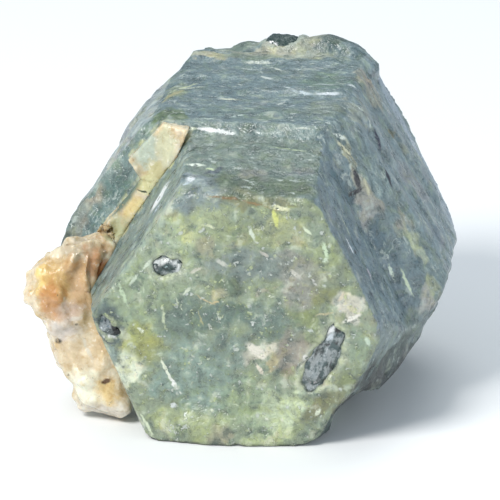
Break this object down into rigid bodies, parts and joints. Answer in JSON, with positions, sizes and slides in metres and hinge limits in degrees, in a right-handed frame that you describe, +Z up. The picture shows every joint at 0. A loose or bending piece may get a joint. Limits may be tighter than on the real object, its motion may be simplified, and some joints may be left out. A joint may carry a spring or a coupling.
{
  "type": "sapphire crystal",
  "caption": "Rough blue-green sapphire crystal lying on its side: a six-sided tapered tier on a wider striated one, with feldspar on its left side and flakes of mica.",
  "frame": {"origin": "centre of the bounding box, on the surface that the specimen rests on", "axes": "+Z up, -Y the way the six-sided end faces, +X to the right as seen from that end; the crystal's long axis runs along Y"},
  "size_m": [0.028, 0.0252, 0.0208],
  "materials": {
    "sapphire": "satin",
    "feldspar": "matte",
    "mica": "pearly"
  },
  "bodies": {
    "root": {"sapphire_crystal": "sapphire", "feldspar_matrix": "feldspar", "mica_flake_right": "mica", "mica_flake_centre": "mica", "mica_flake_left": "mica", "mica_flake_crest": "mica"}
  },
  "joints": []
}
